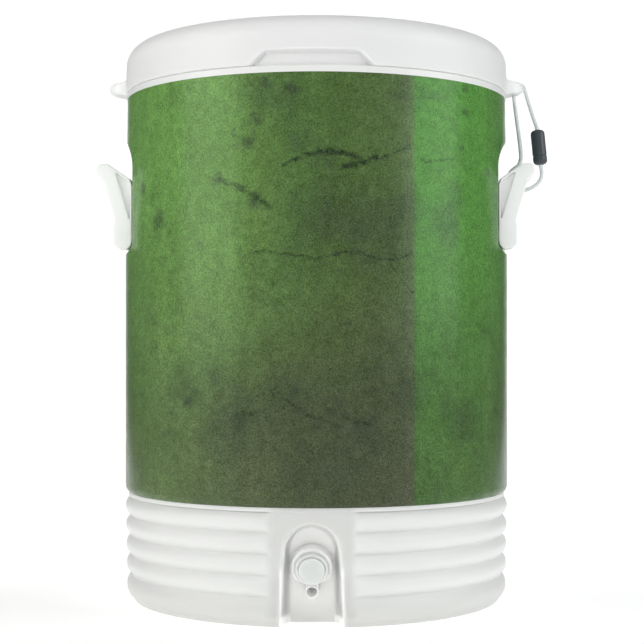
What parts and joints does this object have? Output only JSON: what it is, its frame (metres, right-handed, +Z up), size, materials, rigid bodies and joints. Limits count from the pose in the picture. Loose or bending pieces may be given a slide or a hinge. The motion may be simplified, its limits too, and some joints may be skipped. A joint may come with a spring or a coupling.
{
  "type": "insulated beverage jug",
  "caption": "Round insulated beverage jug with a ribbed base, a recessed push-button spigot, side handles and a tethered lid that tilts open.",
  "frame": {"origin": "on the jug's axis, in the plane that the foot rests on", "axes": "+Z up along the jug's axis, -Y towards the spigot side, +X towards the tethered handle"},
  "size_m": [0.422, 0.362, 0.52],
  "materials": {
    "printed_wall": "satin",
    "white_base": "satin",
    "white_small": "satin",
    "white_liner": "satin",
    "foam": "matte",
    "white_lid": "satin",
    "soft_seal": "matte",
    "white_handle": "satin",
    "steel": "satin",
    "brass_insert": "satin",
    "white_spigot": "satin",
    "white_button": "satin",
    "black_rubber": "matte",
    "cord": "matte",
    "black_connector": "satin"
  },
  "bodies": {
    "jug": {"outer_shell": "printed_wall", "base_skirt": "white_base", "foam_plug": "white_small", "inner_liner": "white_liner", "wall_foam": "foam", "handle_left": "white_handle", "handle_right": "white_handle", "handle_screws": "steel", "handle_inserts": "brass_insert", "spigot_body": "white_spigot", "spigot_spring": "steel", "stem_o_ring": "black_rubber", "outer_gasket": "soft_seal", "inner_gasket": "soft_seal", "lock_nut": "white_small", "tether_cord": "cord", "connector_body": "black_connector", "connector_cap": "black_connector"},
    "lid": {"lid_shell": "white_lid", "lid_liner": "white_liner", "lid_foam": "foam", "lid_gasket": "soft_seal"},
    "button": {"spigot_button": "white_button", "spigot_stem": "steel", "valve_seal": "black_rubber"}
  },
  "joints": [
    {"name": "lid_tilt", "type": "hinge", "parent": "jug", "child": "lid", "pos_m": [0.1885, 0, 0.481], "axis": [0, 1, 0], "range_deg": [0, 100], "deforming": ["tether_cord"]},
    {"name": "button_push", "type": "slide", "parent": "jug", "child": "button", "axis": [0, 0.9659, 0.2588], "range_m": [0, 0.0045], "stiffness_N_per_m": 1200, "springref_m": -0.004, "deforming": ["spigot_spring"]}
  ]
}
